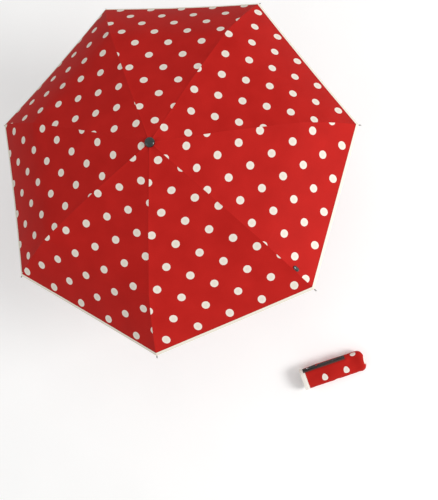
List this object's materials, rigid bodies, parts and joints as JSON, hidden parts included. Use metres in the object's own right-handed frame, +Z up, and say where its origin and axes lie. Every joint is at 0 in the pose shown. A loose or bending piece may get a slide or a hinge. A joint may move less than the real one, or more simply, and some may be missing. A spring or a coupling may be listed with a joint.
{
  "type": "compact folding umbrella",
  "caption": "Compact folding umbrella with a polka-dot canopy, telescopic shaft, folding ribs, wrist strap and a zipped sleeve.",
  "frame": {"origin": "centre of the handle's lower end face, on the shaft's axis", "axes": "+Z up along the shaft from handle to cap; -Y is the side of the first rib and of the sleeve"},
  "size_m": [0.8872, 1.1033, 0.6273],
  "materials": {
    "canopy_cloth": "matte woven polyester, polka dots",
    "binding": "matte woven tape",
    "strap_webbing": "matte woven webbing",
    "hem": "matte woven polyester",
    "zip_tape": "matte woven tape",
    "handle_plastic": "gloss moulded ABS",
    "inlay": "gloss moulded",
    "moulded_nylon": "satin moulded nylon",
    "tip_plastic": "satin moulded",
    "cap_plastic": "satin moulded",
    "tube_steel": "plated steel tube",
    "tube_black": "black painted steel",
    "rib_steel": "zinc plated steel",
    "rib_wire": "spring wire",
    "zip_metal": "gunmetal plated",
    "puller_rubber": "satin rubber"
  },
  "bodies": {
    "handle": {"handle_shell": "handle_plastic", "handle_cap": "handle_plastic", "handle_inlay": "inlay", "strap_pin": "rib_steel", "wrist_strap": "strap_webbing", "lower_tube": "tube_steel"},
    "middle_tube": {"middle_tube": "tube_steel"},
    "upper_tube": {"upper_tube": "tube_black", "crown": "moulded_nylon", "crown_wire": "rib_wire", "top_cap": "cap_plastic", "canopy": "canopy_cloth", "rim_binding": "binding"},
    "catch": {"runner_catch": "rib_steel"},
    "runner": {"runner": "moulded_nylon", "runner_wire": "rib_wire"},
    "sleeve": {"sleeve_body": "canopy_cloth", "sleeve_hem": "hem", "zip_tape": "zip_tape", "zip_coil": "moulded_nylon"},
    "zip_slider": {"zip_slider": "zip_metal"},
    "zip_puller": {"zip_puller": "puller_rubber"},
    "top_rib_1": {"top_rib_1": "rib_steel"},
    "mid_rib_1": {"mid_rib_1": "rib_steel"},
    "outer_rib_1": {"outer_rib_1": "rib_wire", "rib_tip_1": "tip_plastic", "closure_strap": "canopy_cloth", "snap_button": "cap_plastic"},
    "stretcher_1": {"stretcher_1": "rib_steel"},
    "top_rib_2": {"top_rib_2": "rib_steel"},
    "mid_rib_2": {"mid_rib_2": "rib_steel"},
    "outer_rib_2": {"outer_rib_2": "rib_wire", "rib_tip_2": "tip_plastic"},
    "stretcher_2": {"stretcher_2": "rib_steel"},
    "top_rib_3": {"top_rib_3": "rib_steel"},
    "mid_rib_3": {"mid_rib_3": "rib_steel"},
    "outer_rib_3": {"outer_rib_3": "rib_wire", "rib_tip_3": "tip_plastic"},
    "stretcher_3": {"stretcher_3": "rib_steel"},
    "top_rib_4": {"top_rib_4": "rib_steel"},
    "mid_rib_4": {"mid_rib_4": "rib_steel"},
    "outer_rib_4": {"outer_rib_4": "rib_wire", "rib_tip_4": "tip_plastic"},
    "stretcher_4": {"stretcher_4": "rib_steel"},
    "top_rib_5": {"top_rib_5": "rib_steel"},
    "mid_rib_5": {"mid_rib_5": "rib_steel"},
    "outer_rib_5": {"outer_rib_5": "rib_wire", "rib_tip_5": "tip_plastic"},
    "stretcher_5": {"stretcher_5": "rib_steel"},
    "top_rib_6": {"top_rib_6": "rib_steel"},
    "mid_rib_6": {"mid_rib_6": "rib_steel"},
    "outer_rib_6": {"outer_rib_6": "rib_wire", "rib_tip_6": "tip_plastic"},
    "stretcher_6": {"stretcher_6": "rib_steel"},
    "top_rib_7": {"top_rib_7": "rib_steel"},
    "mid_rib_7": {"mid_rib_7": "rib_steel"},
    "outer_rib_7": {"outer_rib_7": "rib_wire", "rib_tip_7": "tip_plastic"},
    "stretcher_7": {"stretcher_7": "rib_steel"}
  },
  "joints": [
    {"name": "middle_slide", "type": "slide", "parent": "handle", "child": "middle_tube", "axis": [0, 0, 1], "range_m": [-0.1316, 0]},
    {"name": "upper_slide", "type": "slide", "parent": "middle_tube", "child": "upper_tube", "axis": [0, 0, 1], "range_m": [-0.1336, 0]},
    {"name": "runner_slide", "type": "slide", "parent": "upper_tube", "child": "runner", "axis": [0, 0, 1], "range_m": [-0.09176, 0], "deforming": ["canopy", "rim_binding"]},
    {"name": "catch_press", "type": "slide", "parent": "upper_tube", "child": "catch", "axis": [0, -1, 0], "range_m": [0, 0.0012], "stiffness_N_per_m": 200, "springref_m": -0.001},
    {"name": "top_rib_1_hinge", "type": "hinge", "parent": "upper_tube", "child": "top_rib_1", "pos_m": [0, -0.0085, 0.46503], "axis": [1, 0, 0], "range_deg": [0, 75.55]},
    {"name": "mid_rib_1_hinge", "type": "hinge", "parent": "top_rib_1", "child": "mid_rib_1", "pos_m": [0, -0.1636, 0.43488], "axis": [1, 0, 0], "range_deg": [-181.05, 0]},
    {"name": "outer_rib_1_hinge", "type": "hinge", "parent": "mid_rib_1", "child": "outer_rib_1", "pos_m": [0, -0.31548, 0.39133], "axis": [1, 0, 0], "range_deg": [0, 158.85], "deforming": ["closure_strap"]},
    {"name": "stretcher_1_hinge", "type": "hinge", "parent": "runner", "child": "stretcher_1", "pos_m": [0, -0.0095, 0.41198], "axis": [1, 0, 0], "range_deg": [-56.34, 0]},
    {"name": "top_rib_2_hinge", "type": "hinge", "parent": "upper_tube", "child": "top_rib_2", "pos_m": [0.00665, -0.0053, 0.46503], "axis": [0.6235, 0.7818, 0], "range_deg": [0, 75.55]},
    {"name": "mid_rib_2_hinge", "type": "hinge", "parent": "top_rib_2", "child": "mid_rib_2", "pos_m": [0.1279, -0.102, 0.43488], "axis": [0.6235, 0.7818, 0], "range_deg": [-181.05, 0]},
    {"name": "outer_rib_2_hinge", "type": "hinge", "parent": "mid_rib_2", "child": "outer_rib_2", "pos_m": [0.24665, -0.1967, 0.39133], "axis": [0.6235, 0.7818, 0], "range_deg": [0, 158.85]},
    {"name": "stretcher_2_hinge", "type": "hinge", "parent": "runner", "child": "stretcher_2", "pos_m": [0.00743, -0.00592, 0.41198], "axis": [0.6235, 0.7818, 0], "range_deg": [-56.34, 0]},
    {"name": "top_rib_3_hinge", "type": "hinge", "parent": "upper_tube", "child": "top_rib_3", "pos_m": [0.00829, 0.00189, 0.46503], "axis": [-0.2225, 0.9749, 0], "range_deg": [0, 75.55]},
    {"name": "mid_rib_3_hinge", "type": "hinge", "parent": "top_rib_3", "child": "mid_rib_3", "pos_m": [0.15949, 0.0364, 0.43488], "axis": [-0.2225, 0.9749, 0], "range_deg": [-181.05, 0]},
    {"name": "outer_rib_3_hinge", "type": "hinge", "parent": "mid_rib_3", "child": "outer_rib_3", "pos_m": [0.30757, 0.0702, 0.39133], "axis": [-0.2225, 0.9749, 0], "range_deg": [0, 158.85]},
    {"name": "stretcher_3_hinge", "type": "hinge", "parent": "runner", "child": "stretcher_3", "pos_m": [0.00926, 0.00211, 0.41198], "axis": [-0.2225, 0.9749, 0], "range_deg": [-56.34, 0]},
    {"name": "top_rib_4_hinge", "type": "hinge", "parent": "upper_tube", "child": "top_rib_4", "pos_m": [0.00369, 0.00766, 0.46503], "axis": [-0.901, 0.4339, 0], "range_deg": [0, 75.55]},
    {"name": "mid_rib_4_hinge", "type": "hinge", "parent": "top_rib_4", "child": "mid_rib_4", "pos_m": [0.07098, 0.1474, 0.43488], "axis": [-0.901, 0.4339, 0], "range_deg": [-181.05, 0]},
    {"name": "outer_rib_4_hinge", "type": "hinge", "parent": "mid_rib_4", "child": "outer_rib_4", "pos_m": [0.13688, 0.28423, 0.39133], "axis": [-0.901, 0.4339, 0], "range_deg": [0, 158.85]},
    {"name": "stretcher_4_hinge", "type": "hinge", "parent": "runner", "child": "stretcher_4", "pos_m": [0.00412, 0.00856, 0.41198], "axis": [-0.901, 0.4339, 0], "range_deg": [-56.34, 0]},
    {"name": "top_rib_5_hinge", "type": "hinge", "parent": "upper_tube", "child": "top_rib_5", "pos_m": [-0.00369, 0.00766, 0.46503], "axis": [-0.901, -0.4339, 0], "range_deg": [0, 75.55]},
    {"name": "mid_rib_5_hinge", "type": "hinge", "parent": "top_rib_5", "child": "mid_rib_5", "pos_m": [-0.07098, 0.1474, 0.43488], "axis": [-0.901, -0.4339, 0], "range_deg": [-181.05, 0]},
    {"name": "outer_rib_5_hinge", "type": "hinge", "parent": "mid_rib_5", "child": "outer_rib_5", "pos_m": [-0.13688, 0.28423, 0.39133], "axis": [-0.901, -0.4339, 0], "range_deg": [0, 158.85]},
    {"name": "stretcher_5_hinge", "type": "hinge", "parent": "runner", "child": "stretcher_5", "pos_m": [-0.00412, 0.00856, 0.41198], "axis": [-0.901, -0.4339, 0], "range_deg": [-56.34, 0]},
    {"name": "top_rib_6_hinge", "type": "hinge", "parent": "upper_tube", "child": "top_rib_6", "pos_m": [-0.00829, 0.00189, 0.46503], "axis": [-0.2225, -0.9749, 0], "range_deg": [0, 75.55]},
    {"name": "mid_rib_6_hinge", "type": "hinge", "parent": "top_rib_6", "child": "mid_rib_6", "pos_m": [-0.15949, 0.0364, 0.43488], "axis": [-0.2225, -0.9749, 0], "range_deg": [-181.05, 0]},
    {"name": "outer_rib_6_hinge", "type": "hinge", "parent": "mid_rib_6", "child": "outer_rib_6", "pos_m": [-0.30757, 0.0702, 0.39133], "axis": [-0.2225, -0.9749, 0], "range_deg": [0, 158.85]},
    {"name": "stretcher_6_hinge", "type": "hinge", "parent": "runner", "child": "stretcher_6", "pos_m": [-0.00926, 0.00211, 0.41198], "axis": [-0.2225, -0.9749, 0], "range_deg": [-56.34, 0]},
    {"name": "top_rib_7_hinge", "type": "hinge", "parent": "upper_tube", "child": "top_rib_7", "pos_m": [-0.00665, -0.0053, 0.46503], "axis": [0.6235, -0.7818, 0], "range_deg": [0, 75.55]},
    {"name": "mid_rib_7_hinge", "type": "hinge", "parent": "top_rib_7", "child": "mid_rib_7", "pos_m": [-0.1279, -0.102, 0.43488], "axis": [0.6235, -0.7818, 0], "range_deg": [-181.05, 0]},
    {"name": "outer_rib_7_hinge", "type": "hinge", "parent": "mid_rib_7", "child": "outer_rib_7", "pos_m": [-0.24665, -0.1967, 0.39133], "axis": [0.6235, -0.7818, 0], "range_deg": [0, 158.85]},
    {"name": "stretcher_7_hinge", "type": "hinge", "parent": "runner", "child": "stretcher_7", "pos_m": [-0.00743, -0.00592, 0.41198], "axis": [0.6235, -0.7818, 0], "range_deg": [-56.34, 0]},
    {"name": "sleeve_lift", "type": "slide", "parent": "handle", "child": "sleeve", "axis": [0, 0, 1], "range_m": [0, 0.15]},
    {"name": "zip_slide", "type": "slide", "parent": "sleeve", "child": "zip_slider", "axis": [0.8746, -0.4848, 0], "range_m": [0, 0.1]},
    {"name": "zip_puller_hinge", "type": "hinge", "parent": "zip_slider", "child": "zip_puller", "pos_m": [-0.16574, -0.5627, -0.1089], "axis": [0.3603, 0.65, -0.6691], "range_deg": [-150, 0]}
  ],
  "couplings": [
    {"joint": "top_rib_1_hinge", "follows": "runner_slide", "rad_per_m": -14.36},
    {"joint": "mid_rib_1_hinge", "follows": "runner_slide", "rad_per_m": 34.427},
    {"joint": "outer_rib_1_hinge", "follows": "runner_slide", "rad_per_m": -30.205},
    {"joint": "stretcher_1_hinge", "follows": "runner_slide", "rad_per_m": 10.707},
    {"joint": "top_rib_2_hinge", "follows": "runner_slide", "rad_per_m": -14.36},
    {"joint": "mid_rib_2_hinge", "follows": "runner_slide", "rad_per_m": 34.427},
    {"joint": "outer_rib_2_hinge", "follows": "runner_slide", "rad_per_m": -30.205},
    {"joint": "stretcher_2_hinge", "follows": "runner_slide", "rad_per_m": 10.707},
    {"joint": "top_rib_3_hinge", "follows": "runner_slide", "rad_per_m": -14.36},
    {"joint": "mid_rib_3_hinge", "follows": "runner_slide", "rad_per_m": 34.427},
    {"joint": "outer_rib_3_hinge", "follows": "runner_slide", "rad_per_m": -30.205},
    {"joint": "stretcher_3_hinge", "follows": "runner_slide", "rad_per_m": 10.707},
    {"joint": "top_rib_4_hinge", "follows": "runner_slide", "rad_per_m": -14.36},
    {"joint": "mid_rib_4_hinge", "follows": "runner_slide", "rad_per_m": 34.427},
    {"joint": "outer_rib_4_hinge", "follows": "runner_slide", "rad_per_m": -30.205},
    {"joint": "stretcher_4_hinge", "follows": "runner_slide", "rad_per_m": 10.707},
    {"joint": "top_rib_5_hinge", "follows": "runner_slide", "rad_per_m": -14.36},
    {"joint": "mid_rib_5_hinge", "follows": "runner_slide", "rad_per_m": 34.427},
    {"joint": "outer_rib_5_hinge", "follows": "runner_slide", "rad_per_m": -30.205},
    {"joint": "stretcher_5_hinge", "follows": "runner_slide", "rad_per_m": 10.707},
    {"joint": "top_rib_6_hinge", "follows": "runner_slide", "rad_per_m": -14.36},
    {"joint": "mid_rib_6_hinge", "follows": "runner_slide", "rad_per_m": 34.427},
    {"joint": "outer_rib_6_hinge", "follows": "runner_slide", "rad_per_m": -30.205},
    {"joint": "stretcher_6_hinge", "follows": "runner_slide", "rad_per_m": 10.707},
    {"joint": "top_rib_7_hinge", "follows": "runner_slide", "rad_per_m": -14.36},
    {"joint": "mid_rib_7_hinge", "follows": "runner_slide", "rad_per_m": 34.427},
    {"joint": "outer_rib_7_hinge", "follows": "runner_slide", "rad_per_m": -30.205},
    {"joint": "stretcher_7_hinge", "follows": "runner_slide", "rad_per_m": 10.707}
  ]
}
